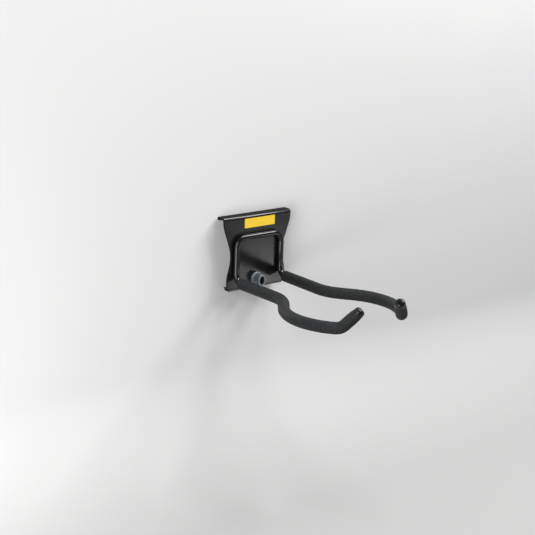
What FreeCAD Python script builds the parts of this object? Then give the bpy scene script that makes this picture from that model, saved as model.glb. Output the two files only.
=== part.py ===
"""Garage utility hook: a waisted sheet plate that hangs on a wall rail, with two sleeved rod arms.

Millimetres, +Z up, +X to the right of someone who faces the wall, +Y into the wall. The origin is on the
plate's back face, midway across and midway up the plate, where the plate lies against the rail.
"""

import FreeCAD, Part
import math
import os

Vector = FreeCAD.Vector

# Sheet plate
plate_height = 76.8
sheet_thickness = 2.3
sheet_bend_inside = 0.8
top_half_width = 40.6
waist_half_width = 31.4
foot_half_width = 35.6
shoulder_below_top = 2.5
waist_share_of_height = 0.543
foot_height = 9.8
upper_side_roundness = 0.476
lower_side_roundness = 0.963
foot_corner_height = 7.3
foot_corner_radius = 6.0
hook_depth = 12.8
hook_lip_drop = 3.9
hook_corner_radius = 1.2
bottom_flange_depth = 11.2
bottom_flange_half_width = 32.4
bottom_flange_corner_radius = 2.5

# Rod frame and arms
rod_diameter = 6.0
weld_gap = 0.05
bar_below_top = 21.0
leg_half_spacing = 27.2
bar_corner_radius = 10.0
leg_bend_radius = 8.0
arm_above_bottom = 11.1
arm_rise = 1.6
arm_toe_in = 0.9
arm_straight = 55.9
flare_radius = 37.6
flare_angle = 37.0
flare_straight = 14.8
cradle_radius = 58.2
cradle_angle = 75.4
cradle_straight = 1.0
tip_radius = 12.3
tip_angle = 45.5
tip_lean = 14.9
tip_straight = 20.5
rod_end_rounding = 2.0

# Sleeves
sleeve_diameter = 11.4
sleeve_fit_clearance = 0.05
sleeve_start_gap = 0.3
sleeve_end_wall = 1.4
sleeve_end_gap = 0.2
sleeve_root_rounding = 1.3
sleeve_taper_length = 14.0
sleeve_tip_diameter = 9.0
sleeve_dome_rounding = 3.0

# Label
label_width = 36.8
label_height = 9.6
label_thickness = 0.2
label_corner_radius = 0.4
label_below_top = 3.2
label_off_centre = 2.3

# Lock
lock_above_bottom = 10.0
knob_plate_clearance = 0.1
knob_length = 10.0
knob_flange_diameter = 13.4
knob_flange_thickness = 1.5
knob_flange_rounding = 0.5
knob_groove_width = 0.8
knob_neck_diameter = 10.8
knob_grip_width = 12.0
knob_grip_height = 12.8
knob_end_width = 8.6
knob_end_height = 11.8
knob_rim_width = 1.4
knob_rim_rounding = 0.4
knob_flute_count = 20
knob_flute_depth = 0.7
knob_land_share = 0.5
knob_flute_floor_share = 0.2
knob_socket_width = 6.0
knob_socket_height = 8.6
knob_socket_depth = 6.0
shank_diameter = 7.0
shank_clearance = 0.08
tail_width = 4.8
tail_clearance = 0.05
tail_short_of_cam = 0.3
cam_plate_clearance = 0.1
cam_boss_diameter = 11.0
cam_stand_off = 2.2
cam_thickness = 2.0
cam_tongue_width = 9.0
cam_reach = 13.0
cam_ramp = 0.6
washer_diameter = 8.4
washer_hole_diameter = 3.3
washer_thickness = 0.5
screw_diameter = 3.0
screw_clearance = 0.05
screw_length = 6.0
screw_head_diameter = 5.6
screw_head_height = 1.9
screw_head_rounding = 0.9
screw_recess_width = 0.9
screw_recess_span = 3.0
screw_recess_depth = 1.1

# Places that follow from the sizes above
rod_radius = rod_diameter / 2.0
sleeve_radius = sleeve_diameter / 2.0
sleeve_tip_radius = sleeve_tip_diameter / 2.0
sleeve_overhang = sleeve_end_wall + sleeve_end_gap
bend_middle_radius = sheet_bend_inside + sheet_thickness / 2.0
bend_outside = sheet_bend_inside + sheet_thickness
top_z = plate_height / 2.0
bottom_z = -plate_height / 2.0
front_y = -sheet_thickness
rod_y = front_y - weld_gap - rod_radius
arm_z = bottom_z + arm_above_bottom
lock_z = bottom_z + lock_above_bottom
shank_radius = shank_diameter / 2.0
cam_front_y = cam_plate_clearance
cam_back_y = cam_front_y + cam_stand_off + cam_thickness
well_clear = 2.0 * plate_height
length_tolerance = 0.001
direction_tolerance = 0.02

left = Vector(-1, 0, 0)
right = Vector(1, 0, 0)
forward = Vector(0, -1, 0)
backward = Vector(0, 1, 0)
down = Vector(0, 0, -1)
up = Vector(0, 0, 1)


def tilted(direction, towards, angle):
    """The direction turned by an angle in degrees towards another direction."""
    turn = math.radians(angle)
    ahead = Vector(direction).normalize()
    side = towards - ahead * ahead.dot(towards)
    side.normalize()
    return ahead * math.cos(turn) + side * math.sin(turn)


class BendLine:
    """A line of straight runs and tangent arcs, in the order in which a rod or a sheet is bent."""

    def __init__(self, start, heading):
        self.start = Vector(start)
        self.first_heading = Vector(heading).normalize()
        self.point = self.start
        self.heading = self.first_heading
        self.edges = []

    def straight(self, run):
        end = self.point + self.heading * run
        self.edges.append(Part.LineSegment(self.point, end).toShape())
        self.point = end

    def bend(self, radius, angle, towards):
        """Turns by an angle in degrees towards a direction."""
        inward = tilted(self.heading, towards, 90.0)
        centre = self.point + inward * radius
        middle = centre + tilted(inward * -1.0, self.heading, angle / 2.0) * radius
        end = centre + tilted(inward * -1.0, self.heading, angle) * radius
        self.edges.append(Part.Arc(self.point, middle, end).toShape())
        self.heading = tilted(self.heading, towards, angle)
        self.point = end

    def sweep(self, profile):
        return Part.Wire(self.edges).makePipeShell([profile], True, True)

    def round_bar(self, radius):
        return self.sweep(Part.Wire(Part.makeCircle(radius, self.start, self.first_heading)))


def mirrored(shape):
    """The same shape on the other side of the hook's middle plane."""
    return shape.mirror(Vector(0, 0, 0), right)


def round_edges_at(shape, centre, radius):
    """The circular edges that have this centre and radius."""
    found = []
    for edge in shape.Edges:
        curve = edge.Curve
        if isinstance(curve, Part.Circle) and abs(curve.Radius - radius) < length_tolerance:
            if curve.Center.distanceToPoint(centre) < length_tolerance:
                found.append(edge)
    return found


def edges_along(shape, direction, low, high):
    """The straight edges that run along a direction and lie inside a box."""
    box = FreeCAD.BoundBox(low, high)
    found = []
    for edge in shape.Edges:
        if isinstance(edge.Curve, Part.Line) and box.isInside(edge.CenterOfMass):
            if edge.tangentAt(edge.FirstParameter).cross(direction).Length < direction_tolerance:
                found.append(edge)
    return found


def disc(radius, near_y, far_y):
    """A round block about the lock's axis, from one depth to another."""
    return Part.makeCylinder(radius, far_y - near_y, Vector(0, near_y, lock_z), backward)


def side_curve(upper, lower, roundness):
    """One side of the plate between two places where it is upright: an arc, a straight run and an arc.

    The straight run is the whole side at a roundness of 0, and vanishes at 1.
    """
    across = lower.x - upper.x
    drop = upper.z - lower.z
    turn = math.atan2(abs(across), drop) * (1.0 + roundness)
    slope = math.degrees(turn)
    rise = 1.0 - math.cos(turn)
    radius = (math.sin(turn) * drop - math.cos(turn) * abs(across)) / (2.0 * rise)
    run = (math.sin(turn) * abs(across) - rise * drop) / rise
    towards = right if across > 0 else left
    line = BendLine(upper, down)
    line.bend(radius, slope, towards)
    line.straight(run)
    line.bend(radius, slope, down)
    return line.edges


def right_outline():
    """The right side of the plate as seen from the front, from above the top to below the bottom."""
    shoulder = Vector(top_half_width, 0, top_z - shoulder_below_top)
    waist = Vector(waist_half_width, 0, top_z - plate_height * waist_share_of_height)
    foot = Vector(foot_half_width, 0, bottom_z + foot_height)
    corner = Vector(foot_half_width, 0, bottom_z + foot_corner_height)
    corner_centre = corner + left * foot_corner_radius
    corner_step = foot_half_width - bottom_flange_half_width
    corner_turn = math.degrees(math.acos(1.0 - corner_step / foot_corner_radius))
    corner_middle = corner_centre + tilted(right, down, corner_turn / 2.0) * foot_corner_radius
    corner_end = corner_centre + tilted(right, down, corner_turn) * foot_corner_radius
    above = Vector(top_half_width, 0, top_z + well_clear)
    below = Vector(bottom_flange_half_width, 0, bottom_z - well_clear)
    edges = [Part.makeLine(above, shoulder)]
    edges += side_curve(shoulder, waist, upper_side_roundness)
    edges += side_curve(waist, foot, lower_side_roundness)
    edges.append(Part.makeLine(foot, corner))
    edges.append(Part.Arc(corner, corner_middle, corner_end).toShape())
    edges.append(Part.makeLine(corner_end, below))
    return edges


def plate_outline():
    """A block with the plate's front outline, deep enough to trim the folded sheet."""
    right_side = right_outline()
    left_side = [mirrored(edge) for edge in right_side]
    top_left = Vector(-top_half_width, 0, top_z + well_clear)
    bottom_left = Vector(-bottom_flange_half_width, 0, bottom_z - well_clear)
    top_edge = Part.makeLine(top_left, Vector(-top_left.x, 0, top_left.z))
    bottom_edge = Part.makeLine(bottom_left, Vector(-bottom_left.x, 0, bottom_left.z))
    loop = Part.Wire(Part.__sortEdges__(right_side + [bottom_edge] + left_side + [top_edge]))
    face = Part.Face(loop)
    face.translate(forward * well_clear)
    return face.extrude(backward * (2.0 * well_clear))


def folded_sheet():
    """The sheet with its hook at the top and its flange at the bottom, at full width all the way."""
    middle_y = front_y + sheet_thickness / 2.0
    lip_y = front_y + hook_depth - sheet_thickness / 2.0
    lip_bottom = Vector(0, lip_y, top_z - hook_lip_drop)
    fold = BendLine(lip_bottom, up)
    fold.straight(hook_lip_drop - bend_outside)
    fold.bend(bend_middle_radius, 90.0, forward)
    fold.straight(hook_depth - 2.0 * bend_outside)
    fold.bend(bend_middle_radius, 90.0, down)
    fold.straight(plate_height - 2.0 * bend_outside)
    fold.bend(bend_middle_radius, 90.0, backward)
    fold.straight(bottom_flange_depth - bend_outside)
    near = lip_y - sheet_thickness / 2.0
    far = lip_y + sheet_thickness / 2.0
    corners = [
        Vector(-top_half_width, near, lip_bottom.z),
        Vector(top_half_width, near, lip_bottom.z),
        Vector(top_half_width, far, lip_bottom.z),
        Vector(-top_half_width, far, lip_bottom.z),
        Vector(-top_half_width, near, lip_bottom.z),
    ]
    return fold.sweep(Part.makePolygon(corners))


def back_plate():
    sheet = folded_sheet().common(plate_outline()).Solids[0]
    reach = Vector(well_clear, hook_depth, 0.0)
    lip_low = Vector(0, front_y, top_z - hook_lip_drop) - reach
    lip_high = Vector(0, front_y + hook_depth, top_z - hook_lip_drop) + reach
    lip_corners = edges_along(sheet, backward, lip_low + down, lip_high + up)
    sheet = sheet.makeFillet(hook_corner_radius, lip_corners)
    flange_low = Vector(-well_clear, bend_outside, bottom_z - sheet_thickness)
    flange_high = Vector(well_clear, bottom_flange_depth, bottom_z + sheet_thickness)
    flange_corners = edges_along(sheet, up, flange_low, flange_high)
    sheet = sheet.makeFillet(bottom_flange_corner_radius, flange_corners)
    hole = disc(shank_radius + shank_clearance, 2.0 * front_y, -2.0 * front_y)
    return sheet.cut(hole)


def label():
    low = Vector(label_off_centre - label_width / 2.0, front_y, top_z - label_below_top - label_height)
    block = Part.makeBox(label_width, label_thickness, label_height, low + forward * label_thickness)
    reach = Vector(label_width, label_thickness, label_height) * 2.0
    corners = edges_along(block, backward, low - reach, low + reach)
    return block.makeFillet(label_corner_radius, corners)


def arm_heading():
    """The way the right arm leaves its leg: forward, a little inward and a little upward."""
    return tilted(tilted(forward, left, arm_toe_in), up, arm_rise)


def follow_arm(line, already_run, short_of_tip):
    """Bends the right arm's line: out to the side, back in round the cradle, and up at the tip."""
    line.straight(arm_straight - already_run)
    line.bend(flare_radius, flare_angle, right)
    line.straight(flare_straight)
    line.bend(cradle_radius, cradle_angle, left)
    line.straight(cradle_straight)
    line.bend(tip_radius, tip_angle, tilted(up, left, tip_lean))
    line.straight(tip_straight - short_of_tip)


def right_frame_line():
    """The right half of the rod's middle line, from the top bar down the leg to the start of the arm."""
    leg_turn = math.degrees(math.acos(down.dot(arm_heading())))
    leg_bend_drop = leg_bend_radius * math.sin(math.radians(leg_turn))
    line = BendLine(Vector(0, rod_y, top_z - bar_below_top), right)
    line.straight(leg_half_spacing - bar_corner_radius)
    line.bend(bar_corner_radius, 90.0, down)
    line.straight(line.point.z - arm_z - leg_bend_drop)
    line.bend(leg_bend_radius, leg_turn, arm_heading())
    return line


def wire_frame():
    """One rod from tip to tip: arm, leg, top bar, leg and arm."""
    half = right_frame_line()
    follow_arm(half, 0.0, sleeve_overhang)
    bar = half.round_bar(rod_radius)
    bar = bar.makeFillet(rod_end_rounding, round_edges_at(bar, half.point, rod_radius))
    return bar.fuse(mirrored(bar)).removeSplitter()


def sleeve_taper(start, heading):
    """The last stretch of a sleeve, which narrows in a long curve to its end."""
    inward = tilted(heading, down, 90.0)
    step = sleeve_radius - sleeve_tip_radius
    curve_radius = (sleeve_taper_length**2 + step**2) / (2.0 * step)
    curve_turn = 2.0 * math.degrees(math.atan2(step, sleeve_taper_length))
    side = BendLine(start - inward * sleeve_radius, heading)
    side.bend(curve_radius, curve_turn, inward)
    end = start + heading * sleeve_taper_length
    face_edge = Part.makeLine(side.point, end)
    axis_edge = Part.makeLine(end, start)
    root_edge = Part.makeLine(start, side.start)
    profile = Part.Face(Part.Wire(side.edges + [face_edge, axis_edge, root_edge]))
    return profile.revolve(start, heading, 360.0)


def sleeve_right():
    """A tube over the arm that closes in a dome at the tip, just past the rod's rounded end."""
    root = right_frame_line()
    heading = root.heading
    outside = BendLine(root.point + heading * sleeve_start_gap, heading)
    follow_arm(outside, sleeve_start_gap, sleeve_taper_length)
    bore = BendLine(outside.start, heading)
    follow_arm(bore, sleeve_start_gap, sleeve_end_wall)
    bore_radius = rod_radius + sleeve_fit_clearance
    hollow = bore.round_bar(bore_radius)
    hollow = hollow.makeFillet(rod_end_rounding, round_edges_at(hollow, bore.point, bore_radius))
    tip = bore.point + bore.heading * sleeve_end_wall
    body = outside.round_bar(sleeve_radius).fuse(sleeve_taper(outside.point, outside.heading))
    body = body.removeSplitter()
    body = body.makeFillet(sleeve_root_rounding, round_edges_at(body, outside.start, sleeve_radius))
    body = body.makeFillet(sleeve_dome_rounding, round_edges_at(body, tip, sleeve_tip_radius))
    return body.cut(hollow)


def oval_wire(width, height, y):
    """An upright oval about the lock's axis."""
    centre = Vector(0, y, lock_z)
    oval = Part.Ellipse(centre + up * (height / 2.0), centre + right * (width / 2.0), centre)
    return Part.Wire(oval.toShape())


def oval_block(width, height, near_y, far_y):
    return Part.Face(oval_wire(width, height, near_y)).extrude(backward * (far_y - near_y))


def fluted_wire(width, height, y):
    """An oval with flutes all round: each pitch has a land, a sloping side, a narrow floor and a sloping side."""
    pitch = 2.0 * math.pi / knob_flute_count
    half_land = pitch * knob_land_share / 2.0
    half_floor = pitch * knob_flute_floor_share / 2.0
    corners = []
    for turn in range(knob_flute_count):
        land = pitch * turn
        floor = land + pitch / 2.0
        places = [
            (land - half_land, 0.0),
            (land + half_land, 0.0),
            (floor - half_floor, knob_flute_depth),
            (floor + half_floor, knob_flute_depth),
        ]
        for angle, depth in places:
            x = (width / 2.0 - depth) * math.cos(angle)
            z = (height / 2.0 - depth) * math.sin(angle)
            corners.append(Vector(x, y, lock_z + z))
    return Part.makePolygon(corners + [corners[0]])


def knob_grip(grip_back_y, knob_front_y):
    """The part that fingers turn: a fluted oval that narrows to a slimmer oval, with a plain rim at its end."""
    rim_back_y = knob_front_y + knob_rim_width
    root = fluted_wire(knob_grip_width, knob_grip_height, grip_back_y)
    end = fluted_wire(knob_end_width, knob_end_height, rim_back_y)
    fluted = Part.makeLoft([root, end], True, True)
    rim = oval_block(knob_end_width, knob_end_height, knob_front_y, rim_back_y)
    front_edges = [edge for edge in rim.Edges if edge.BoundBox.YMax < rim_back_y - knob_rim_width / 2.0]
    rim = rim.makeFillet(knob_rim_rounding, front_edges)
    return fluted.fuse(rim)


def lock_knob():
    """The knob with its shank through the plate and the square tail that turns the tongue."""
    flange_back_y = front_y - knob_plate_clearance
    flange_front_y = flange_back_y - knob_flange_thickness
    knob_front_y = flange_back_y - knob_length
    groove_front_y = flange_front_y - knob_groove_width
    flange = disc(knob_flange_diameter / 2.0, flange_front_y, flange_back_y)
    flange_rim = round_edges_at(flange, Vector(0, flange_front_y, lock_z), knob_flange_diameter / 2.0)
    flange = flange.makeFillet(knob_flange_rounding, flange_rim)
    groove = disc(knob_neck_diameter / 2.0, groove_front_y, flange_front_y)
    grip = knob_grip(groove_front_y, knob_front_y)
    shank = disc(shank_radius, flange_back_y, cam_front_y)
    tail_length = cam_back_y - tail_short_of_cam - cam_front_y
    tail_corner = Vector(-tail_width / 2.0, cam_front_y, lock_z - tail_width / 2.0)
    tail = Part.makeBox(tail_width, tail_length, tail_width, tail_corner)
    socket = oval_block(knob_socket_width, knob_socket_height, knob_front_y, knob_front_y + knob_socket_depth)
    pilot_depth = screw_length - washer_thickness + tail_short_of_cam
    pilot = disc(screw_diameter / 2.0 + screw_clearance, cam_back_y - pilot_depth, cam_back_y)
    knob = flange.fuse([groove, grip, shank, tail])
    return knob.cut(socket).cut(pilot).removeSplitter()


def lock_cam():
    """The tongue behind the plate, with a boss that holds it off the plate by the thickness of a rail's lip."""
    tongue_front_y = cam_front_y + cam_stand_off
    boss = disc(cam_boss_diameter / 2.0, cam_front_y, cam_back_y)
    tongue_radius = cam_tongue_width / 2.0
    tip_rise = cam_reach - tongue_radius
    corner = Vector(-tongue_radius, tongue_front_y, lock_z)
    web = Part.makeBox(cam_tongue_width, cam_thickness, tip_rise, corner)
    tip = disc(tongue_radius, tongue_front_y, cam_back_y).translated(up * tip_rise)
    tongue = web.fuse(tip).removeSplitter()
    ramp = []
    for edge in tongue.Edges:
        flat = abs(edge.BoundBox.YMax - tongue_front_y) < length_tolerance
        if flat and edge.BoundBox.ZMax > lock_z + cam_boss_diameter / 2.0:
            ramp.append(edge)
    tongue = tongue.makeChamfer(cam_ramp, ramp)
    hole_width = tail_width + 2.0 * tail_clearance
    hole_corner = Vector(-hole_width / 2.0, cam_front_y - cam_thickness, lock_z - hole_width / 2.0)
    hole = Part.makeBox(hole_width, cam_back_y + cam_thickness, hole_width, hole_corner)
    return boss.fuse(tongue).cut(hole).removeSplitter()


def cam_washer():
    ring = disc(washer_diameter / 2.0, cam_back_y, cam_back_y + washer_thickness)
    return ring.cut(disc(washer_hole_diameter / 2.0, cam_back_y, cam_back_y + washer_thickness))


def cam_screw():
    """Pan-head screw with a cross recess, its threads left plain."""
    head_front_y = cam_back_y + washer_thickness
    head_back_y = head_front_y + screw_head_height
    head = disc(screw_head_diameter / 2.0, head_front_y, head_back_y)
    crown = round_edges_at(head, Vector(0, head_back_y, lock_z), screw_head_diameter / 2.0)
    head = head.makeFillet(screw_head_rounding, crown)
    shank = disc(screw_diameter / 2.0, head_front_y - screw_length, head_front_y)
    half_span = screw_recess_span / 2.0
    half_width = screw_recess_width / 2.0
    recess_y = head_back_y - screw_recess_depth
    level = Part.makeBox(
        screw_recess_span, screw_recess_depth, screw_recess_width, Vector(-half_span, recess_y, lock_z - half_width)
    )
    upright = Part.makeBox(
        screw_recess_width, screw_recess_depth, screw_recess_span, Vector(-half_width, recess_y, lock_z - half_span)
    )
    return head.fuse(shank).cut(level).cut(upright).removeSplitter()


def main():
    right_sleeve = sleeve_right()
    nodes = {
        "back_plate": back_plate(),
        "wire_frame": wire_frame(),
        "sleeve_left": mirrored(right_sleeve),
        "sleeve_right": right_sleeve,
        "label": label(),
        "lock_knob": lock_knob(),
        "lock_cam": lock_cam(),
        "cam_washer": cam_washer(),
        "cam_screw": cam_screw(),
    }
    os.makedirs("parts", exist_ok=True)
    for name, shape in nodes.items():
        solid = shape.Solids[0]
        solid.exportStep("parts/" + name + ".step")
        print(name, len(shape.Solids), solid.isValid(), round(solid.Volume, 2), solid.BoundBox)


main()
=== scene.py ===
import math

import bmesh
import bpy
from bpy.props import FloatProperty, FloatVectorProperty, IntProperty, PointerProperty
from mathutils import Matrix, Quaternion, Vector


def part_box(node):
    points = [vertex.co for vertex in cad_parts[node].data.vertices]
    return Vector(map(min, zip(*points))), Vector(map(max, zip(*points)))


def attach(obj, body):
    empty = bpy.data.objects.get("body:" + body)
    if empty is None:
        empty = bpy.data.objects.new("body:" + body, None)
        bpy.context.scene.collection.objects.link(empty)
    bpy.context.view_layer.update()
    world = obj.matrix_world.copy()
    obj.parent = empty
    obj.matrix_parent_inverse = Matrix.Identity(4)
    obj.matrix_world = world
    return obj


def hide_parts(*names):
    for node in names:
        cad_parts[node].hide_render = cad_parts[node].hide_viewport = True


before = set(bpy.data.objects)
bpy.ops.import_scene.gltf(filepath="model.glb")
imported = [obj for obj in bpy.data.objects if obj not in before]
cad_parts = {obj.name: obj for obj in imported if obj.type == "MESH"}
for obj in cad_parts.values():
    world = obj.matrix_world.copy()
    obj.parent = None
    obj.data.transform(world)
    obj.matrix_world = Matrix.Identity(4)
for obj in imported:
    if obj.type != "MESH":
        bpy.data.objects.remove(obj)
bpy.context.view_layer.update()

bl_info = {
    "name": "Garage utility hook",
    "version": (1, 0, 0),
    "blender": (4, 5, 0),
    "location": "3D View > Sidebar > Hook",
    "description": "Dresses the rail hook: coated plate and rod, rubber sleeves, label, lock and studio",
    "category": "Object",
}

UP = Vector((0.0, 0.0, 1.0))
DOWN = Vector((0.0, 0.0, -1.0))
LEFT = Vector((-1.0, 0.0, 0.0))
RIGHT = Vector((1.0, 0.0, 0.0))
FORWARD = Vector((0.0, -1.0, 0.0))

# Painted shade: near-black colour laid into the knob's socket, where the hole lies in shade.
SOCKET_PAINTED_SHADE = (0.035, 0.036, 0.037, 1.0)
# Painted shade: darker colour laid into the grooves between the knob's flutes.
FLUTE_PAINTED_SHADE = (0.025, 0.03, 0.034, 1.0)
SMOOTH_RUBBER = (0.005, 0.0052, 0.0055, 1.0)
TIP_COAT = 0.45
TIP_RELIEF = 0.08
TIP_FADE = (0.965, 0.985)

SOCKET_HALF_WIDTH = 0.003
SOCKET_HALF_HEIGHT = 0.0043
SOCKET_EDGE = (1.01, 1.05)
KNOB_SHANK_Y = -0.006
KNOB_GRIP_BACK = -0.0047
KNOB_RIM = 0.0014
KNOB_FLUTES = 20
KNOB_FADE = 0.0001
FLUTE_EDGE = (-0.2, 0.4)

RIM_ROUNDING = 0.0003
RIM_SEGMENTS = 3
WELD_DISTANCE = 0.000002
FLAT_ANGLE = math.radians(0.4)
RIM_ANGLE = math.radians(40.0)

GLOSS_NEAR = 0.02
GLOSS_FAR = 0.06
SWEEP_STEPS = 24

ROOT_STEPS = 6
DOME_STEPS = 12
BORE_STEPS = 5

CAMERA_PLACE = (-0.74599, -1.01636, 0.35663)
CAMERA_LENS = 87.687
CAMERA_SENSOR = 36.0
CAMERA_SHIFT = (0.04954, 0.00402)
CAMERA_YAW = math.radians(35.624)
CAMERA_PITCH = math.radians(16.655)
CAMERA_ROLL = math.radians(1.506)
CAMERA_REACH = (0.05, 20.0)

ARMS = Vector((0.0, -0.06, 0.0))
PLATE = Vector((0.0, 0.0, 0.0))
LAMPS = (
    ("key_softbox", "key", ARMS + Vector((0.725, -0.497, 0.956)), ARMS, 0.6, 0.4),
    ("side_softbox", "side", ARMS + Vector((-1.02, -0.588, 0.228)), ARMS, 0.7, 1.0),
    ("top_softbox", "top", ARMS + Vector((0.26, -0.286, 1.235)), ARMS, 0.6, 0.6),
    ("back_softbox", "back", ARMS + Vector((-0.25, 1.2, 0.35)), ARMS, 0.9, 0.7),
    ("left_strip", "strip", Vector((-0.5, -0.29, -0.16)), PLATE, 0.3, 0.18),
    ("low_card", "card", Vector((0.342, -0.413, -0.188)), PLATE, 0.08, 0.07),
)


def length(name, description, default):
    """A size in metres."""
    return FloatProperty(name=name, description=description, default=default, unit="LENGTH", precision=5)


def turn(name, description, degrees):
    """An angle, given in degrees."""
    return FloatProperty(name=name, description=description, default=math.radians(degrees), subtype="ANGLE")


def share(name, description, default):
    """A number from 0 to 1."""
    return FloatProperty(
        name=name, description=description, default=default, min=0.0, max=1.0, subtype="FACTOR"
    )


def light_level(name, description, default):
    """A lamp's power in watts, or the strength of an even light."""
    return FloatProperty(name=name, description=description, default=default, min=0.0)


def colour(name, description, default):
    """A plain colour."""
    return FloatVectorProperty(
        name=name, description=description, default=default, size=3, min=0.0, max=1.0, subtype="COLOR"
    )


class HookSleeveSizes(bpy.types.PropertyGroup):
    """The right arm's line and the sleeve on it."""

    root_x: length("Sleeve start across", "Distance of the arm from the middle plane where it starts", 0.0272)
    plate_front: length("Plate front", "Depth of the plate's front face", -0.0023)
    rod_radius: length("Rod radius", "Half the rod's thickness", 0.003)
    weld_gap: length("Weld gap", "Space between rod and plate", 0.00005)
    arm_height: length("Arm height", "Height of the arms' middle line where they leave the legs", -0.0273)
    leg_bend_radius: length("Leg bend", "Radius of the bend from leg to arm", 0.008)
    arm_rise: turn("Arm rise", "How far the arms point upward", 1.6)
    arm_toe_in: turn("Arm toe-in", "How far the arms point towards each other", 0.9)
    arm_straight: length("Straight arm", "Run from the leg bend to the outward bend", 0.0559)
    flare_radius: length("Outward bend radius", "Radius of the bend to the side", 0.0376)
    flare_angle: turn("Outward bend", "Angle of the bend to the side", 37.0)
    flare_straight: length("Slanted run", "Run between the outward bend and the cradle", 0.0148)
    cradle_radius: length("Cradle radius", "Radius of the long bend round a load", 0.0582)
    cradle_angle: turn("Cradle bend", "Angle of the long bend round a load", 75.4)
    cradle_straight: length("Run to the tip bend", "Run between the cradle and the tip bend", 0.001)
    tip_radius: length("Tip bend radius", "Radius of the upward bend", 0.0123)
    tip_angle: turn("Tip bend", "Angle of the upward bend", 45.5)
    tip_lean: turn("Tip lean", "How far the upward bend leans inward", 14.9)
    tip_straight: length("Tip", "Straight run after the upward bend", 0.0205)
    start_gap: length("Start gap", "Bare rod before the sleeve", 0.0003)
    radius: length("Sleeve radius", "Half the sleeve's thickness", 0.0057)
    tip_end_radius: length("Tip radius", "Half the sleeve's thickness just before its end", 0.0045)
    taper: length("Taper", "Length over which the sleeve narrows", 0.014)
    bore_clearance: length("Bore clearance", "Space between rod and sleeve", 0.00005)
    root_rounding: length("Root rounding", "Radius of the sleeve's edge near the plate", 0.0013)
    dome_rounding: length("Dome rounding", "Radius of the rounded end", 0.003)
    end_wall: length("End wall", "Thickness of the end in front of the rod", 0.0014)
    bore_end_rounding: length("Bore end rounding", "Radius of the bore's closed end", 0.002)
    waviness: length("Waviness", "How far the soft wall sinks in from a true tube at most", 0.0001)
    ring_step: length("Ring step", "Spacing of the rings along the sleeve", 0.0009)
    ring_sides: IntProperty(name="Sides", description="Points round each ring", default=56, min=12)


class HookFinishes(bpy.types.PropertyGroup):
    """Colours and gloss of the hook."""

    coat: colour("Plate coat", "Black powder coat of the plate", (0.0035, 0.0037, 0.0037))
    coat_roughness: share("Plate roughness", "Roughness of the plate's coat", 0.23)
    rod: colour("Rod coat", "Black coat of the rod", (0.003, 0.003, 0.0032))
    rod_roughness: share("Rod roughness", "Roughness of the rod's coat", 0.17)
    rubber: colour("Sleeve rubber", "Charcoal rubber of the sleeves", (0.0225, 0.0242, 0.0252))
    rubber_roughness: share("Rubber roughness", "Roughness of the sleeves", 0.6)
    tip_roughness: share("Tip roughness", "Roughness of the sleeves' closed ends", 0.2)
    knob: colour("Knob plastic", "Blue-grey plastic of the knob", (0.2, 0.235, 0.26))
    knob_roughness: share("Knob roughness", "Roughness of the knob", 0.36)
    label: colour("Label", "Yellow face of the label", (0.96, 0.65, 0.04))
    cam: colour("Lock tongue", "Satin coat of the lock's tongue", (0.03, 0.03, 0.031))
    bright: colour("Bright steel", "Plated steel of the washer and the screw", (0.6, 0.6, 0.58))


class HookStage(bpy.types.PropertyGroup):
    """Floor, wall and light round the hook."""

    wall_y: length("Wall", "Depth of the pale wall behind the hook", 0.0112)
    floor_z: length("Floor", "Height of the pale floor", -0.23)
    sweep_radius: length("Sweep", "Radius between floor and wall", 0.12)
    reach: length("Stage reach", "How far floor and wall run", 3.0)
    paper: colour("Wall colour", "Pale colour of the wall", (0.77, 0.77, 0.766))
    ground: colour("Floor colour", "Pale colour of the floor", (0.5, 0.5, 0.497))
    sky: light_level("Sky", "Strength of the even light", 0.13)
    key: light_level("Key lamp", "Power of the main lamp in watts", 10.5)
    card: light_level("Low card", "Power of the small low card in watts", 0.06)
    side: light_level("Side lamp", "Power of the lamp to the left in watts", 8.5)
    back: light_level("Back lamp", "Power of the lamp behind the wall in watts", 6.0)
    strip: light_level("Left strip", "Power of the near strip on the left in watts", 0.88)
    top: light_level("Top lamp", "Power of the lamp overhead in watts", 12.0)


# Mesh helpers

def tilted(direction, towards, angle):
    """The direction turned by an angle towards another direction."""
    ahead = direction.normalized()
    side = (towards - ahead * ahead.dot(towards)).normalized()
    return ahead * math.cos(angle) + side * math.sin(angle)


class BendLine:
    """A line of straight runs and tangent arcs, with a point and a heading for any place along it."""

    def __init__(self, start, heading):
        self.point = Vector(start)
        self.heading = heading.normalized()
        self.total = 0.0
        self.runs = []

    def straight(self, run):
        self.runs.append((self.total, run, self.point.copy(), self.heading.copy(), None, None))
        self.point = self.point + self.heading * run
        self.total += run

    def bend(self, radius, angle, towards):
        inward = tilted(self.heading, towards, math.pi / 2.0)
        centre = self.point + inward * radius
        self.runs.append((self.total, radius * angle, self.point.copy(), self.heading.copy(), inward, radius))
        self.point = centre + tilted(-inward, self.heading, angle) * radius
        self.heading = tilted(self.heading, inward, angle)
        self.total += radius * angle

    def at(self, place):
        """The point and the heading this far along the line."""
        run = self.runs[0]
        for later in self.runs[1:]:
            if place >= later[0]:
                run = later
        begin, extent, point, heading, inward, radius = run
        ahead = place - begin
        if inward is None:
            return point + heading * ahead, heading.copy()
        angle = ahead / radius
        centre = point + inward * radius
        return centre + tilted(-inward, heading, angle) * radius, tilted(heading, inward, angle)


def new_piece(name, build, material, body):
    """A mesh object that rides on a body."""
    mesh = bpy.data.meshes.new(name)
    shape = bmesh.new()
    build(shape)
    bmesh.ops.recalc_face_normals(shape, faces=shape.faces)
    for face in shape.faces:
        face.smooth = True
    shape.to_mesh(mesh)
    shape.free()
    piece = bpy.data.objects.new(name, mesh)
    bpy.context.scene.collection.objects.link(piece)
    mesh.materials.append(material)
    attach(piece, body)
    return piece


def arc_places(count):
    """Angles of a quarter turn, from its start to its end."""
    return [math.pi / 2.0 * step / count for step in range(count + 1)]


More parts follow.
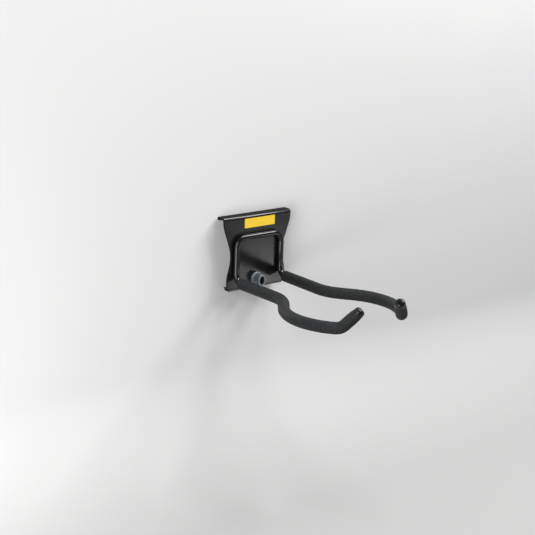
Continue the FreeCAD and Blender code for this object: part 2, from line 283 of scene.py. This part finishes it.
def sleeve_profile(sizes, total):
    """Places along the sleeve and radii there: root, outside, dome, then back in along the bore."""
    bore = sizes.rod_radius + sizes.bore_clearance
    root = sizes.root_rounding
    dome = sizes.dome_rounding
    step_in = sizes.radius - sizes.tip_end_radius
    curve = (sizes.taper ** 2 + step_in ** 2) / (2.0 * step_in)
    taper_start = total - sizes.taper
    places = [(0.0, bore), (0.0, (bore + sizes.radius - root) / 2.0)]
    for a in arc_places(ROOT_STEPS):
        places.append((root - root * math.cos(a), sizes.radius - root + root * math.sin(a)))
    count = max(2, int((taper_start - root) / sizes.ring_step))
    places += [(root + (taper_start - root) * i / count, sizes.radius) for i in range(1, count + 1)]
    taper_end = total - dome
    count = max(2, int((taper_end - taper_start) / sizes.ring_step))
    for i in range(1, count + 1):
        ahead = (taper_end - taper_start) * i / count
        places.append((taper_start + ahead, sizes.radius - curve + math.sqrt(curve ** 2 - ahead ** 2)))
    edge = places[-1][1]
    flat = edge - dome
    for a in arc_places(DOME_STEPS)[1:]:
        places.append((taper_end + dome * math.sin(a), flat + dome * math.cos(a)))
    places += [(total, flat * 0.6), (total, flat * 0.2)]
    inner = sizes.bore_end_rounding
    wall_back = total - sizes.end_wall
    places += [(wall_back, flat * 0.2), (wall_back, bore - inner)]
    for a in arc_places(BORE_STEPS)[1:]:
        places.append((wall_back - inner + inner * math.cos(a), bore - inner + inner * math.sin(a)))
    count = max(2, int((wall_back - inner) / (2.0 * sizes.ring_step)))
    places += [((wall_back - inner) * (1.0 - i / count), bore) for i in range(1, count)]
    return places


def wander(place, angle):
    """A smooth, small unevenness of a soft wall, from -1 to 1."""
    slow = math.sin(place * 310.0 + 2.0 * math.sin(angle))
    quick = math.sin(place * 870.0 + 3.0 * angle + 1.3) * math.cos(2.0 * angle - place * 190.0)
    return 0.6 * slow * math.cos(angle + place * 60.0) + 0.4 * quick


def sleeve_shape(sizes, mirror):
    """Returns a builder that lays the sleeve's rings along the arm."""
    rise = tilted(tilted(FORWARD, LEFT, sizes.arm_toe_in), UP, sizes.arm_rise)
    turned = math.acos(DOWN.dot(rise))
    rod_y = sizes.plate_front - sizes.weld_gap - sizes.rod_radius
    top = Vector((sizes.root_x, rod_y, sizes.arm_height + sizes.leg_bend_radius * math.sin(turned)))
    line = BendLine(top, DOWN)
    line.bend(sizes.leg_bend_radius, turned, rise)
    arm = BendLine(line.point + rise * sizes.start_gap, rise)
    arm.straight(sizes.arm_straight - sizes.start_gap)
    arm.bend(sizes.flare_radius, sizes.flare_angle, RIGHT)
    arm.straight(sizes.flare_straight)
    arm.bend(sizes.cradle_radius, sizes.cradle_angle, LEFT)
    arm.straight(sizes.cradle_straight)
    arm.bend(sizes.tip_radius, sizes.tip_angle, tilted(UP, LEFT, sizes.tip_lean))
    arm.straight(sizes.tip_straight)
    across = Vector((-1.0, 1.0, 1.0)) if mirror else Vector((1.0, 1.0, 1.0))

    def build(shape):
        rings = []
        wrap = shape.loops.layers.uv.new("wrap")
        profile = sleeve_profile(sizes, arm.total)
        outside = True
        for number, (place, radius) in enumerate(profile):
            point, heading = arm.at(place)
            side = heading.cross(UP).normalized()
            over = side.cross(heading).normalized()
            outside = outside and (number < 3 or place >= profile[number - 1][0])
            ring = []
            for i in range(sizes.ring_sides):
                angle = 2.0 * math.pi * i / sizes.ring_sides
                uneven = outside and number > 1
                swell = (wander(place, angle) - 1.0) / 2.0 * sizes.waviness if uneven else 0.0
                out = side * math.sin(angle) - over * math.cos(angle)
                ring.append(shape.verts.new((point + out * (radius + swell)) * across))
            rings.append(ring)
        cap = len(profile) - 1
        while profile[cap][0] < arm.total:
            cap -= 1
        for number, (first, second) in enumerate(zip(rings, rings[1:] + rings[:1])):
            if number == cap:
                continue
            for i in range(sizes.ring_sides):
                j = (i + 1) % sizes.ring_sides
                face = shape.faces.new((first[i], first[j], second[j], second[i]))
                following = (number + 1) % len(profile)
                corners = ((i, number), (i + 1, number), (i + 1, following), (i, following))
                for loop, (turned_by, ring_number) in zip(face.loops, corners):
                    loop[wrap].uv = (turned_by / sizes.ring_sides, profile[ring_number][0] / arm.total)
        for ring in (rings[cap], rings[cap + 1]):
            face = shape.faces.new(ring)
            for loop in face.loops:
                loop[wrap].uv = (0.5, 1.0)

    return build


# Material helpers

def group_of(name, inputs, outputs, fill):
    """A shader node group, made once, with named inputs and outputs."""
    tree = bpy.data.node_groups.get(name)
    if tree is None:
        tree = bpy.data.node_groups.new(name, "ShaderNodeTree")
        for label, kind, default in inputs:
            socket = tree.interface.new_socket(name=label, in_out="INPUT", socket_type=kind)
            socket.default_value = default
        for label, kind in outputs:
            tree.interface.new_socket(name=label, in_out="OUTPUT", socket_type=kind)
        fill(tree, tree.nodes.new("NodeGroupInput"), tree.nodes.new("NodeGroupOutput"))
    return tree


def node(tree, kind, links=None, **settings):
    """A node with its settings, linked from sockets or set to values by input name or number."""
    made = tree.nodes.new(kind)
    for key, value in settings.items():
        setattr(made, key, value)
    for key, value in (links or {}).items():
        if isinstance(value, bpy.types.NodeSocket):
            tree.links.new(value, made.inputs[key])
        else:
            made.inputs[key].default_value = value
    return made


def noise(tree, vector, scale, detail, roughness=0.5):
    """Soft noise over the object, scaled per metre."""
    made = node(
        tree, "ShaderNodeTexNoise",
        {"Vector": vector, "Scale": scale, "Detail": detail, "Roughness": roughness},
    )
    return made.outputs["Fac"]


def spread(tree, value, low, high, to_low, to_high):
    """A value mapped from one range to another and held inside it."""
    made = node(
        tree, "ShaderNodeMapRange",
        {"Value": value, "From Min": low, "From Max": high, "To Min": to_low, "To Max": to_high},
    )
    return made.outputs["Result"]


def sums(tree, operation, first, second):
    return node(tree, "ShaderNodeMath", {0: first, 1: second}, operation=operation).outputs[0]


def tinted(tree, amount, first, second):
    """A mix of two colours by an amount."""
    return node(tree, "ShaderNodeMix", {0: amount, 6: first, 7: second}, data_type="RGBA").outputs[2]


def fill_coat(tree, given, result):
    """Powder coat: a low orange-peel swell, a fine grit and slow changes of gloss and tone."""
    place = node(tree, "ShaderNodeTexCoord").outputs["Object"]
    peel = noise(tree, place, given.outputs["Peel per metre"], 1.0)
    grit = noise(tree, place, given.outputs["Grit per metre"], 2.0, 0.6)
    slow = noise(tree, place, 60.0, 2.0)
    swell = sums(tree, "MULTIPLY", peel, 0.7)
    height = sums(tree, "ADD", swell, sums(tree, "MULTIPLY", grit, given.outputs["Grit"]))
    slow_gloss = spread(tree, slow, 0.3, 0.7, -0.03, 0.03)
    gloss = sums(tree, "ADD", slow_gloss, spread(tree, grit, 0.3, 0.7, -0.03, 0.05))
    rough = sums(tree, "ADD", given.outputs["Roughness"], gloss)
    tone = spread(tree, sums(tree, "ADD", slow, grit), 0.7, 1.3, 0.0, 1.0)
    skin = tinted(tree, tone, given.outputs["Colour"], given.outputs["Worn colour"])
    tree.links.new(skin, result.inputs["Colour"])
    tree.links.new(rough, result.inputs["Roughness"])
    tree.links.new(height, result.inputs["Height"])


def coat_group():
    return group_of(
        "powder_coat",
        [
            ("Colour", "NodeSocketColor", (0.01, 0.01, 0.01, 1.0)),
            ("Worn colour", "NodeSocketColor", (0.02, 0.02, 0.02, 1.0)),
            ("Roughness", "NodeSocketFloat", 0.3),
            ("Peel per metre", "NodeSocketFloat", 900.0),
            ("Grit per metre", "NodeSocketFloat", 4500.0),
            ("Grit", "NodeSocketFloat", 0.3),
        ],
        [("Colour", "NodeSocketColor"), ("Roughness", "NodeSocketFloat"), ("Height", "NodeSocketFloat")],
        fill_coat,
    )


def fill_moulded(tree, given, result):
    """Moulded skin: fine spark-eroded grain, faint flow marks and a light bloom."""
    place = node(tree, "ShaderNodeTexCoord").outputs["Object"]
    grain = noise(tree, place, given.outputs["Grain per metre"], 3.0, 0.65)
    cloud = noise(tree, place, given.outputs["Cloud per metre"], 3.0, 0.55)
    speck = node(
        tree, "ShaderNodeTexVoronoi",
        {"Vector": place, "Scale": given.outputs["Grain per metre"]},
        feature="F1",
    )
    pores = spread(tree, speck.outputs["Distance"], 0.05, 0.45, 1.0, 0.0)
    height = sums(tree, "SUBTRACT", grain, sums(tree, "MULTIPLY", pores, given.outputs["Pores"]))
    tone = spread(tree, sums(tree, "ADD", cloud, sums(tree, "MULTIPLY", grain, 0.6)), 0.6, 1.0, 0.0, 1.0)
    rough = sums(tree, "ADD", given.outputs["Roughness"], spread(tree, cloud, 0.3, 0.7, -0.07, 0.07))
    skin = tinted(tree, tone, given.outputs["Colour"], given.outputs["Bloom colour"])
    tree.links.new(skin, result.inputs["Colour"])
    tree.links.new(rough, result.inputs["Roughness"])
    tree.links.new(height, result.inputs["Height"])


def moulded_group():
    return group_of(
        "moulded_skin",
        [
            ("Colour", "NodeSocketColor", (0.03, 0.03, 0.03, 1.0)),
            ("Bloom colour", "NodeSocketColor", (0.05, 0.05, 0.05, 1.0)),
            ("Roughness", "NodeSocketFloat", 0.6),
            ("Grain per metre", "NodeSocketFloat", 2600.0),
            ("Cloud per metre", "NodeSocketFloat", 180.0),
            ("Pores", "NodeSocketFloat", 0.4),
        ],
        [("Colour", "NodeSocketColor"), ("Roughness", "NodeSocketFloat"), ("Height", "NodeSocketFloat")],
        fill_moulded,
    )


def fill_plated(tree, given, result):
    """Plated steel: fine drawn lines, cloudy tone and small dull spots."""
    place = node(tree, "ShaderNodeTexCoord").outputs["Object"]
    stretched = node(tree, "ShaderNodeMapping", {"Vector": place, "Scale": (1.0, 1.0, 9.0)}).outputs["Vector"]
    lines = noise(tree, stretched, given.outputs["Lines per metre"], 2.0)
    cloud = noise(tree, place, 350.0, 3.0, 0.6)
    tone = spread(tree, sums(tree, "ADD", cloud, sums(tree, "MULTIPLY", lines, 0.5)), 0.55, 0.95, 0.0, 1.0)
    rough = sums(tree, "ADD", given.outputs["Roughness"], spread(tree, cloud, 0.35, 0.7, -0.06, 0.14))
    skin = tinted(tree, tone, given.outputs["Colour"], given.outputs["Dull colour"])
    tree.links.new(skin, result.inputs["Colour"])
    tree.links.new(rough, result.inputs["Roughness"])
    tree.links.new(lines, result.inputs["Height"])


def plated_group():
    return group_of(
        "plated_steel",
        [
            ("Colour", "NodeSocketColor", (0.6, 0.6, 0.6, 1.0)),
            ("Dull colour", "NodeSocketColor", (0.4, 0.4, 0.4, 1.0)),
            ("Roughness", "NodeSocketFloat", 0.3),
            ("Lines per metre", "NodeSocketFloat", 900.0),
        ],
        [("Colour", "NodeSocketColor"), ("Roughness", "NodeSocketFloat"), ("Height", "NodeSocketFloat")],
        fill_plated,
    )


def opaque(rgb, lift=1.0):
    """A colour with full alpha, made lighter or darker by a factor."""
    return tuple(min(1.0, part * lift) for part in rgb) + (1.0,)


def finish_from(name, group, values, bump, constants):
    """A material with colour, roughness and bump from a group and plain values in its other sockets."""
    material = bpy.data.materials.new(name)
    material.use_nodes = True
    tree = material.node_tree
    tree.nodes.clear()
    skin = node(tree, "ShaderNodeGroup", node_tree=group)
    for key, value in values.items():
        skin.inputs[key].default_value = value
    strength, depth = bump
    relief = node(
        tree, "ShaderNodeBump",
        {"Strength": strength, "Distance": depth, "Height": skin.outputs["Height"]},
    )
    shader = node(
        tree, "ShaderNodeBsdfPrincipled",
        {
            "Base Color": skin.outputs["Colour"],
            "Roughness": skin.outputs["Roughness"],
            "Normal": relief.outputs["Normal"],
        },
    )
    for key, value in constants.items():
        shader.inputs[key].default_value = value
    node(tree, "ShaderNodeOutputMaterial", {"Surface": shader.outputs["BSDF"]})
    return material


def plate_finish(look):
    return finish_from(
        "plate_powder_coat", coat_group(),
        {
            "Colour": opaque(look.coat), "Worn colour": opaque(look.coat, 1.5),
            "Roughness": look.coat_roughness, "Peel per metre": 600.0, "Grit per metre": 3800.0, "Grit": 0.3,
        },
        (0.2, 0.00005), {"Specular IOR Level": 0.62},
    )


def rod_finish(look):
    return finish_from(
        "rod_powder_coat", coat_group(),
        {
            "Colour": opaque(look.rod), "Worn colour": opaque(look.rod, 1.5),
            "Roughness": look.rod_roughness, "Peel per metre": 500.0, "Grit per metre": 4200.0, "Grit": 0.15,
        },
        (0.12, 0.00005), {"Specular IOR Level": 0.5},
    )


def cam_finish(look):
    return finish_from(
        "tongue_powder_coat", coat_group(),
        {
            "Colour": opaque(look.cam), "Worn colour": opaque(look.cam, 1.9), "Roughness": 0.36,
            "Peel per metre": 700.0, "Grit per metre": 3800.0, "Grit": 0.3,
        },
        (0.25, 0.00005), {"Specular IOR Level": 0.6},
    )


def gloss_tips(material, roughness):
    """Makes the sleeves' closed ends smoother, darker and glossier than their long walls."""
    tree = material.node_tree
    shader = next(part for part in tree.nodes if part.type == "BSDF_PRINCIPLED")
    dull = shader.inputs["Roughness"].links[0].from_socket
    wrap = node(tree, "ShaderNodeUVMap", uv_map="wrap").outputs["UV"]
    along = node(tree, "ShaderNodeSeparateXYZ", {0: wrap}).outputs["Y"]
    tip = spread(tree, along, *TIP_FADE, 0.0, 1.0)
    eased = node(tree, "ShaderNodeMix", {0: tip, 2: dull, 3: roughness}, data_type="FLOAT").outputs[0]
    tree.links.new(eased, shader.inputs["Roughness"])
    relief = shader.inputs["Normal"].links[0].from_node
    height = relief.inputs["Height"].links[0].from_socket
    flatter = spread(tree, tip, 0.0, 1.0, 1.0, TIP_RELIEF)
    tree.links.new(sums(tree, "MULTIPLY", height, flatter), relief.inputs["Height"])
    wall = shader.inputs["Base Color"].links[0].from_socket
    tree.links.new(tinted(tree, tip, wall, SMOOTH_RUBBER), shader.inputs["Base Color"])
    tree.links.new(sums(tree, "MULTIPLY", tip, TIP_COAT), shader.inputs["Coat Weight"])
    shader.inputs["Coat Roughness"].default_value = roughness
    return material


def rubber_finish(look):
    return finish_from(
        "sleeve_rubber", moulded_group(),
        {
            "Colour": opaque(look.rubber, 0.58), "Bloom colour": opaque(look.rubber, 1.48),
            "Roughness": look.rubber_roughness, "Grain per metre": 1000.0,
            "Cloud per metre": 620.0, "Pores": 0.6,
        },
        (0.85, 0.00017), {"Specular IOR Level": 0.12},
    )


def knob_masks(tree):
    """Where the knob's socket is, and where its flutes are, each from 0 to 1, as masks for painted shade."""
    low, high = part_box("lock_knob")
    middle = (low + high) / 2.0
    place = node(tree, "ShaderNodeTexCoord").outputs["Object"]
    parts = node(tree, "ShaderNodeSeparateXYZ", {0: place})
    rise = sums(tree, "SUBTRACT", parts.outputs["Z"], middle.z)
    wide = sums(tree, "DIVIDE", parts.outputs["X"], SOCKET_HALF_WIDTH)
    high_up = sums(tree, "DIVIDE", rise, SOCKET_HALF_HEIGHT)
    reach = sums(tree, "ADD", sums(tree, "MULTIPLY", wide, wide), sums(tree, "MULTIPLY", high_up, high_up))
    depth = parts.outputs["Y"]
    ahead = spread(tree, depth, KNOB_SHANK_Y - 2.0 * KNOB_FADE, KNOB_SHANK_Y, 1.0, 0.0)
    socket = sums(tree, "MULTIPLY", spread(tree, reach, *SOCKET_EDGE, 1.0, 0.0), ahead)
    angle = sums(tree, "ARCTAN2", rise, parts.outputs["X"])
    wave = sums(tree, "MULTIPLY", angle, float(KNOB_FLUTES))
    crest = node(tree, "ShaderNodeMath", {0: wave}, operation="COSINE").outputs[0]
    front = low.y + KNOB_RIM
    start = spread(tree, depth, front - KNOB_FADE, front + KNOB_FADE, 0.0, 1.0)
    stop = spread(tree, depth, KNOB_GRIP_BACK - KNOB_FADE, KNOB_GRIP_BACK + KNOB_FADE, 1.0, 0.0)
    ribbed = sums(tree, "MULTIPLY", start, stop)
    flutes = sums(tree, "MULTIPLY", spread(tree, crest, *FLUTE_EDGE, 1.0, 0.0), ribbed)
    return socket, flutes


def shade_knob(material):
    """Paints shade into the knob's socket and its flutes, darkening them where little light comes."""
    tree = material.node_tree
    shader = next(part for part in tree.nodes if part.type == "BSDF_PRINCIPLED")
    light = shader.inputs["Base Color"].links[0].from_socket
    socket, flutes = knob_masks(tree)
    # Painted shade in the grooves between the flutes.
    ribbed = tinted(tree, flutes, light, FLUTE_PAINTED_SHADE)
    # Painted shade: the socket is darkened towards near-black.
    tree.links.new(tinted(tree, socket, ribbed, SOCKET_PAINTED_SHADE), shader.inputs["Base Color"])
    return material


def knob_finish(look):
    return finish_from(
        "knob_plastic", moulded_group(),
        {
            "Colour": opaque(look.knob, 0.85), "Bloom colour": opaque(look.knob, 1.3),
            "Roughness": look.knob_roughness, "Grain per metre": 3500.0,
            "Cloud per metre": 400.0, "Pores": 0.15,
        },
        (0.3, 0.00005), {"Specular IOR Level": 0.5},
    )


def label_finish(look):
    return finish_from(
        "label_film", moulded_group(),
        {
            "Colour": opaque(look.label, 0.97), "Bloom colour": opaque(look.label, 1.03),
            "Roughness": 0.38, "Grain per metre": 2400.0, "Cloud per metre": 150.0, "Pores": 0.1,
        },
        (0.15, 0.00003), {"Specular IOR Level": 0.5},
    )


def steel_finish(name, rgb, roughness):
    return finish_from(
        name, plated_group(),
        {
            "Colour": opaque(rgb), "Dull colour": opaque(rgb, 0.7),
            "Roughness": roughness, "Lines per metre": 700.0,
        },
        (0.2, 0.00003), {"Metallic": 1.0},
    )


def dress(node_name, material):
    """Gives a CAD node a material in all its slots."""
    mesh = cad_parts[node_name].data
    mesh.materials.clear()
    mesh.materials.append(material)


def soften_edges(node_name, width, segments):
    """Rounds the sharp rims of a CAD node as coating or moulding does."""
    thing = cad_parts[node_name]
    weld = thing.modifiers.new("weld", "WELD")
    weld.merge_threshold = WELD_DISTANCE
    flat = thing.modifiers.new("flat", "DECIMATE")
    flat.decimate_type = "DISSOLVE"
    flat.angle_limit = FLAT_ANGLE
    bevel = thing.modifiers.new("rims", "BEVEL")
    bevel.width = width
    bevel.segments = segments
    bevel.limit_method = "ANGLE"
    bevel.angle_limit = RIM_ANGLE
    bevel.harden_normals = True


# Operators

class HOOK_OT_plate(bpy.types.Operator):
    """Coats the plate and the label on it"""

    bl_idname = "hook.plate"
    bl_label = "Plate and label"

    def execute(self, context):
        look = context.scene.hook_finishes
        dress("back_plate", plate_finish(look))
        soften_edges("back_plate", RIM_ROUNDING, RIM_SEGMENTS)
        dress("label", label_finish(look))
        return {"FINISHED"}


class HOOK_OT_rod(bpy.types.Operator):
    """Coats the bent rod"""

    bl_idname = "hook.rod"
    bl_label = "Rod frame"

    def execute(self, context):
        dress("wire_frame", rod_finish(context.scene.hook_finishes))
        return {"FINISHED"}


class HOOK_OT_sleeves(bpy.types.Operator):
    """Draws both rubber sleeves over the rod's arms"""

    bl_idname = "hook.sleeves"
    bl_label = "Rubber sleeves"

    def execute(self, context):
        sizes = context.scene.hook_sleeve_sizes
        look = context.scene.hook_finishes
        rubber = gloss_tips(rubber_finish(look), look.tip_roughness)
        for name, mirror in (("sleeve_left", True), ("sleeve_right", False)):
            piece = new_piece(name + "_rubber", sleeve_shape(sizes, mirror), rubber, "hook")
            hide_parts(name)
            if len(piece.data.polygons) == 0:
                raise RuntimeError("the sleeve has no faces")
        return {"FINISHED"}


class HOOK_OT_lock(bpy.types.Operator):
    """Finishes the knob, the tongue, the washer and the screw"""

    bl_idname = "hook.lock"
    bl_label = "Lock"

    def execute(self, context):
        look = context.scene.hook_finishes
        dress("lock_knob", shade_knob(knob_finish(look)))
        dress("lock_cam", cam_finish(look))
        bright = steel_finish("bright_steel", look.bright, 0.26)
        dress("cam_washer", bright)
        dress("cam_screw", bright)
        return {"FINISHED"}


def stage_material(stage):
    """Matt paper that the camera and, a little way off, the gloss see, and only from its front."""
    material = bpy.data.materials.new("stage_paper")
    material.use_nodes = True
    tree = material.node_tree
    tree.nodes.clear()
    place = node(tree, "ShaderNodeTexCoord").outputs["Object"]
    tone = spread(tree, noise(tree, place, 3.0, 2.0), 0.3, 0.7, 0.0, 1.0)
    height = node(tree, "ShaderNodeSeparateXYZ", {0: place}).outputs["Z"]
    raised = spread(tree, height, stage.floor_z, stage.floor_z + stage.sweep_radius, 0.0, 1.0)
    dim = tinted(tree, raised, opaque(stage.ground, 0.99), opaque(stage.paper, 0.99))
    full = tinted(tree, raised, opaque(stage.ground, 1.01), opaque(stage.paper, 1.01))
    sheet = tinted(tree, tone, dim, full)
    matt = node(tree, "ShaderNodeBsdfDiffuse", {"Color": sheet})
    clear = node(tree, "ShaderNodeBsdfTransparent")
    ray = node(tree, "ShaderNodeLightPath")
    side = node(tree, "ShaderNodeNewGeometry")
    front = sums(tree, "SUBTRACT", 1.0, side.outputs["Backfacing"])
    gloss = sums(tree, "MAXIMUM", ray.outputs["Is Glossy Ray"], ray.outputs["Is Transmission Ray"])
    far_enough = spread(tree, ray.outputs["Ray Length"], GLOSS_NEAR, GLOSS_FAR, 0.0, 1.0)
    mirrored = sums(tree, "MULTIPLY", gloss, far_enough)
    looking = sums(tree, "MAXIMUM", ray.outputs["Is Camera Ray"], mirrored)
    seen = sums(tree, "MULTIPLY", looking, front)
    mixed = node(
        tree, "ShaderNodeMixShader", {0: seen, 1: clear.outputs["BSDF"], 2: matt.outputs["BSDF"]}
    )
    node(tree, "ShaderNodeOutputMaterial", {"Surface": mixed.outputs["Shader"]})
    return material


def make_sweep(stage):
    """Floor and wall in one sheet with a round sweep between them."""
    mesh = bpy.data.meshes.new("stage_sweep")
    shape = bmesh.new()
    radius = stage.sweep_radius
    centre_y = stage.wall_y - radius
    centre_z = stage.floor_z + radius
    line = [(-stage.reach, stage.floor_z)]
    for angle in arc_places(SWEEP_STEPS):
        line.append((centre_y + radius * math.sin(angle), centre_z - radius * math.cos(angle)))
    line.append((stage.wall_y, stage.reach))
    rows = [[shape.verts.new((x, y, z)) for x in (-stage.reach, stage.reach)] for y, z in line]
    for low, high in zip(rows, rows[1:]):
        shape.faces.new((low[0], low[1], high[1], high[0]))
    for face in shape.faces:
        face.smooth = True
    shape.to_mesh(mesh)
    shape.free()
    sweep = bpy.data.objects.new("stage_sweep", mesh)
    bpy.context.scene.collection.objects.link(sweep)
    mesh.materials.append(stage_material(stage))


def add_lamp(name, place, aim, width, height, power):
    """A soft rectangular lamp that points at a place."""
    lamp = bpy.data.lights.new(name, "AREA")
    lamp.shape = "RECTANGLE"
    lamp.size = width
    lamp.size_y = height
    lamp.energy = power
    thing = bpy.data.objects.new(name, lamp)
    thing.location = place
    thing.rotation_mode = "QUATERNION"
    thing.rotation_quaternion = (aim - place).to_track_quat("-Z", "Y")
    thing.visible_camera = False
    bpy.context.scene.collection.objects.link(thing)


def make_world(strength):
    world = bpy.data.worlds.new("studio_air")
    bpy.context.scene.world = world
    world.use_nodes = True
    tree = world.node_tree
    tree.nodes.clear()
    air = node(tree, "ShaderNodeBackground", {"Color": (1.0, 1.0, 1.0, 1.0), "Strength": strength})
    node(tree, "ShaderNodeOutputWorld", {"Surface": air.outputs["Background"]})


def make_camera():
    """The camera at the photograph's angle, for a square picture."""
    lens = bpy.data.cameras.new("photo_camera")
    lens.sensor_width = CAMERA_SENSOR
    lens.lens = CAMERA_LENS
    lens.shift_x, lens.shift_y = CAMERA_SHIFT
    lens.clip_start, lens.clip_end = CAMERA_REACH
    camera = bpy.data.objects.new("photo_camera", lens)
    level_run = math.cos(CAMERA_PITCH)
    ahead = Vector((
        math.sin(CAMERA_YAW) * level_run,
        math.cos(CAMERA_YAW) * level_run,
        -math.sin(CAMERA_PITCH),
    ))
    level = ahead.to_track_quat("-Z", "Y")
    camera.rotation_mode = "QUATERNION"
    camera.rotation_quaternion = Quaternion(ahead, -CAMERA_ROLL) @ level
    camera.location = CAMERA_PLACE
    bpy.context.scene.collection.objects.link(camera)
    bpy.context.scene.camera = camera


class HOOK_OT_stage(bpy.types.Operator):
    """Makes the floor, the wall, the lamps and the camera"""

    bl_idname = "hook.stage"
    bl_label = "Stage and camera"

    def execute(self, context):
        stage = context.scene.hook_stage
        make_camera()
        make_sweep(stage)
        make_world(stage.sky)
        for name, key, place, aim, width, height in LAMPS:
            add_lamp(name, place, aim, width, height, getattr(stage, key))
        context.scene.view_settings.view_transform = "Standard"
        return {"FINISHED"}


class HOOK_PT_panel(bpy.types.Panel):
    """Lists the hook's pieces and the stage"""

    bl_label = "Garage utility hook"
    bl_idname = "HOOK_PT_panel"
    bl_space_type = "VIEW_3D"
    bl_region_type = "UI"
    bl_category = "Hook"

    def draw(self, context):
        for group in ("hook_sleeve_sizes", "hook_finishes", "hook_stage"):
            values = getattr(context.scene, group)
            box = self.layout.box()
            for key in values.__annotations__:
                box.prop(values, key)
        for step in STEPS:
            self.layout.operator(step.bl_idname)


GROUPS = (HookSleeveSizes, HookFinishes, HookStage)
STEPS = (HOOK_OT_plate, HOOK_OT_rod, HOOK_OT_sleeves, HOOK_OT_lock, HOOK_OT_stage)


def register():
    for kind in GROUPS + STEPS + (HOOK_PT_panel,):
        bpy.utils.register_class(kind)
    bpy.types.Scene.hook_sleeve_sizes = PointerProperty(type=HookSleeveSizes)
    bpy.types.Scene.hook_finishes = PointerProperty(type=HookFinishes)
    bpy.types.Scene.hook_stage = PointerProperty(type=HookStage)


def unregister():
    del bpy.types.Scene.hook_stage
    del bpy.types.Scene.hook_finishes
    del bpy.types.Scene.hook_sleeve_sizes
    for kind in reversed(GROUPS + STEPS + (HOOK_PT_panel,)):
        bpy.utils.unregister_class(kind)


def main():
    register()
    bpy.ops.hook.stage()
    bpy.ops.hook.plate()
    bpy.ops.hook.rod()
    bpy.ops.hook.sleeves()
    bpy.ops.hook.lock()


if __name__ == "__main__":
    main()
